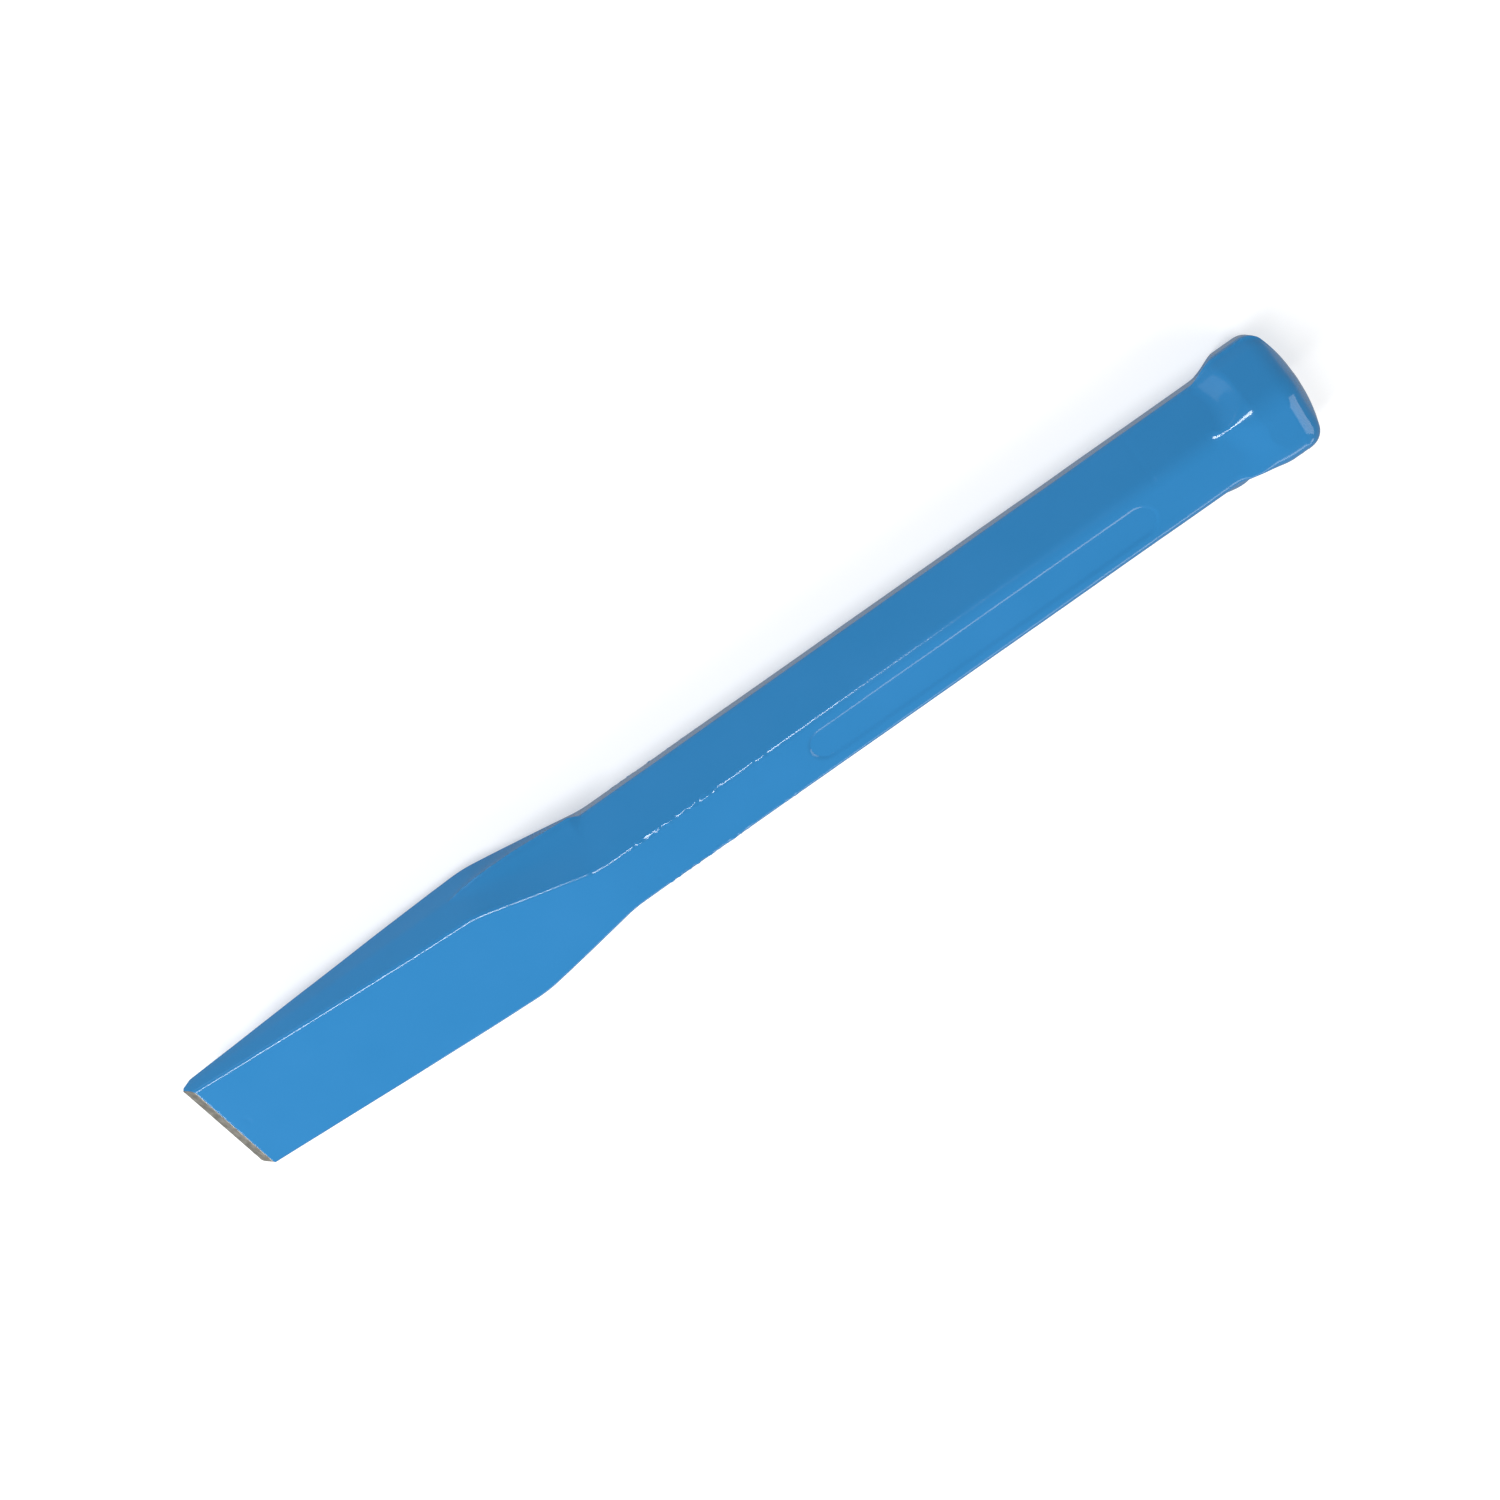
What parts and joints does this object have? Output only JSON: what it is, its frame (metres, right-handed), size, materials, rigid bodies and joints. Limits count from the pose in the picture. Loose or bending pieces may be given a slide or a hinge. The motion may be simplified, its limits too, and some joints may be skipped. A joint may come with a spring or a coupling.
{
  "type": "flat cold chisel",
  "caption": "Forged flat cold chisel with a hexagonal shank, enlarged striking head, enamelled body and bare ground cutting bevels.",
  "frame": {"origin": "centre of the bounding box, on the tool's own axis, halfway along its length", "axes": "+X along the tool from the cutting edge to the struck head; +Y across the blade's width; +Z through the blade's thickness, so the tool lies with its wide faces level; the shallow panel is in the flat that faces +Z"},
  "size_m": [0.25, 0.0274, 0.0242],
  "materials": {
    "forged_steel": "ground bevels, dull grey with fine grinding lines across the edge",
    "blue_enamel": "semi-gloss baked enamel over a forged surface, mid blue"
  },
  "bodies": {
    "root": {"forged_body": "forged_steel", "enamel_coat": "blue_enamel"}
  },
  "joints": []
}
